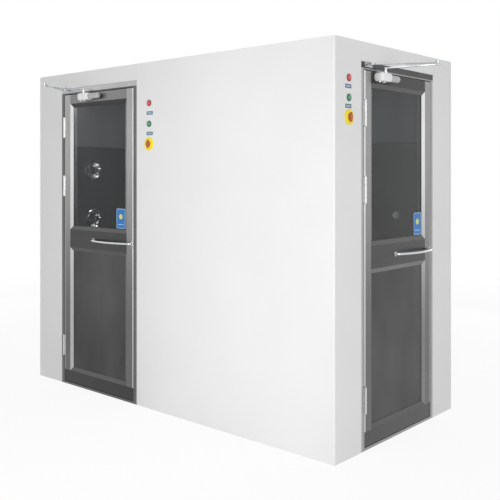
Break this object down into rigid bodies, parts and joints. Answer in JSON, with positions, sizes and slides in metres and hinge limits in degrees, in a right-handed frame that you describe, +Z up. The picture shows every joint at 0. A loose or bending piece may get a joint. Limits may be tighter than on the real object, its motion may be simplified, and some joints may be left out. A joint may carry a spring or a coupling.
{
  "type": "air shower",
  "caption": "Air shower for a cleanroom entrance: white panelled cabinet with stainless glazed doors on two faces at a right angle, closers, lamps and air nozzles.",
  "frame": {"origin": "On the floor under the centre of the cabinet's footprint.", "axes": "+X along the long front towards the end door, +Y from the front into the cabinet, +Z up."},
  "size_m": [2.872, 1.602, 2.15],
  "materials": {
    "white_paint": "semi-gloss powder coat",
    "stainless": "brushed stainless steel",
    "dark_stainless": "brushed stainless steel, inside walls",
    "polished": "polished",
    "window_pane": "clear",
    "seal_rubber": "satin",
    "closer_cast": "silver-white paint on a casting",
    "closer_arm_steel": "zinc plated",
    "red_lens": "clear red",
    "green_lens": "clear green",
    "switch_yellow": "gloss",
    "knob_red": "gloss",
    "white_plastic": "matt, lets light through",
    "filter_paper": "pleated glass-fibre paper",
    "filter_felt": "white filter felt",
    "galvanised": "galvanised sheet",
    "motor_black": "black",
    "dark_plastic": "matt"
  },
  "bodies": {
    "cabinet": {"base_tray": "stainless", "chamber_floor": "stainless", "front_main_panel": "white_paint", "front_left_panel": "white_paint", "left_end_panel": "white_paint", "back_left_panel": "white_paint", "back_right_panel": "white_paint", "front_header_panel": "white_paint", "end_header_panel": "white_paint", "roof_panel": "white_paint", "inner_left_wall": "dark_stainless", "inner_back_wall": "dark_stainless", "inner_front_wall": "dark_stainless", "passage_wall": "dark_stainless", "inner_ceiling": "dark_stainless", "front_door_frame": "stainless", "end_door_frame": "stainless", "door_seals": "seal_rubber", "closer_shoes": "closer_arm_steel", "hinge_frame_leaves": "polished", "door_magnets": "stainless", "lamp_housing": "white_paint", "lamp_diffuser": "white_plastic", "presence_sensor": "white_plastic", "blower_housing": "galvanised", "blower_motor": "motor_black", "hepa_filter": "filter_paper", "filter_frame": "galvanised", "prefilter": "filter_felt", "return_grille": "stainless", "control_box": "white_paint", "red_lamps": "red_lens", "green_lamps": "green_lens", "switch_plates": "switch_yellow", "nozzle_rings": "polished"},
    "front_door": {"front_leaf_frame": "stainless", "front_window_glass": "window_pane", "front_lower_panel": "stainless", "front_pull_handle": "polished", "front_hinge_leaves": "polished", "front_closer_body": "closer_cast"},
    "front_main_arm": {"front_closer_main_arm": "closer_arm_steel"},
    "front_forearm": {"front_closer_forearm": "closer_arm_steel"},
    "front_knob": {"front_switch_knob": "knob_red"},
    "end_door": {"end_leaf_frame": "stainless", "end_window_glass": "window_pane", "end_lower_panel": "stainless", "end_pull_handle": "polished", "end_hinge_leaves": "polished", "end_closer_body": "closer_cast"},
    "end_main_arm": {"end_closer_main_arm": "closer_arm_steel"},
    "end_forearm": {"end_closer_forearm": "closer_arm_steel"},
    "end_knob": {"end_switch_knob": "knob_red"},
    "nozzle_1": {"nozzle_1_ball": "polished"},
    "nozzle_2": {"nozzle_2_ball": "polished"},
    "nozzle_3": {"nozzle_3_ball": "polished"},
    "nozzle_4": {"nozzle_4_ball": "polished"},
    "nozzle_5": {"nozzle_5_ball": "polished"},
    "nozzle_6": {"nozzle_6_ball": "polished"},
    "impeller": {"blower_impeller": "galvanised"}
  },
  "joints": [
    {"name": "front_door_hinge", "type": "hinge", "parent": "cabinet", "child": "front_door", "pos_m": [-0.9715, -0.646, 1.011], "axis": [0, 0, -1], "range_deg": [0, 95], "stiffness_Nm_per_rad": 12, "springref_deg": -28.65},
    {"name": "front_closer_spindle", "type": "hinge", "parent": "front_door", "child": "front_main_arm", "pos_m": [-0.7135, -0.676, 2.023], "axis": [0, 0, -1], "range_deg": [0, 18]},
    {"name": "front_closer_shoe_pivot", "type": "hinge", "parent": "cabinet", "child": "front_forearm", "pos_m": [-0.9365, -0.666, 2.032], "axis": [0, 0, -1], "range_deg": [0, 108]},
    {"name": "end_door_hinge", "type": "hinge", "parent": "cabinet", "child": "end_door", "pos_m": [1.281, -0.3615, 1.011], "axis": [0, 0, -1], "range_deg": [0, 95], "stiffness_Nm_per_rad": 12, "springref_deg": -28.65},
    {"name": "end_closer_spindle", "type": "hinge", "parent": "end_door", "child": "end_main_arm", "pos_m": [1.311, -0.2115, 2.023], "axis": [0, 0, -1], "range_deg": [0, 33]},
    {"name": "end_closer_shoe_pivot", "type": "hinge", "parent": "cabinet", "child": "end_forearm", "pos_m": [1.301, -0.3265, 2.032], "axis": [0, 0, -1], "range_deg": [0, 121]},
    {"name": "front_switch_turn", "type": "hinge", "parent": "cabinet", "child": "front_knob", "pos_m": [-0.099, -0.648, 1.641], "axis": [0, -1, 0], "range_deg": [0, 90]},
    {"name": "end_switch_turn", "type": "hinge", "parent": "cabinet", "child": "end_knob", "pos_m": [1.283, -0.511, 1.747], "axis": [1, 0, 0], "range_deg": [0, 90]},
    {"name": "nozzle_1_swivel", "type": "hinge", "parent": "cabinet", "child": "nozzle_1", "pos_m": [-1.007, -0.364, 0.764], "axis": [0, 0, 1], "range_deg": [-20, 20]},
    {"name": "nozzle_2_swivel", "type": "hinge", "parent": "cabinet", "child": "nozzle_2", "pos_m": [-1.007, 0.086, 0.764], "axis": [0, 0, 1], "range_deg": [-20, 20]},
    {"name": "nozzle_3_swivel", "type": "hinge", "parent": "cabinet", "child": "nozzle_3", "pos_m": [-1.007, -0.364, 1.121], "axis": [0, 0, 1], "range_deg": [-20, 20]},
    {"name": "nozzle_4_swivel", "type": "hinge", "parent": "cabinet", "child": "nozzle_4", "pos_m": [-1.007, 0.086, 1.121], "axis": [0, 0, 1], "range_deg": [-20, 20]},
    {"name": "nozzle_5_swivel", "type": "hinge", "parent": "cabinet", "child": "nozzle_5", "pos_m": [-1.007, -0.364, 1.478], "axis": [0, 0, 1], "range_deg": [-20, 20]},
    {"name": "nozzle_6_swivel", "type": "hinge", "parent": "cabinet", "child": "nozzle_6", "pos_m": [-1.007, 0.086, 1.478], "axis": [0, 0, 1], "range_deg": [-20, 20]},
    {"name": "impeller_shaft", "type": "hinge", "parent": "cabinet", "child": "impeller", "pos_m": [-1.1296, -0.14, 0.224], "axis": [1, 0, 0], "continuous": true}
  ],
  "couplings": [
    {"joint": "front_closer_spindle", "follows": "front_door_hinge", "ratio": 0.18218},
    {"joint": "front_closer_shoe_pivot", "follows": "front_door_hinge", "ratio": 1.1229},
    {"joint": "end_closer_spindle", "follows": "end_door_hinge", "ratio": 0.33224},
    {"joint": "end_closer_shoe_pivot", "follows": "end_door_hinge", "ratio": 1.2586}
  ]
}
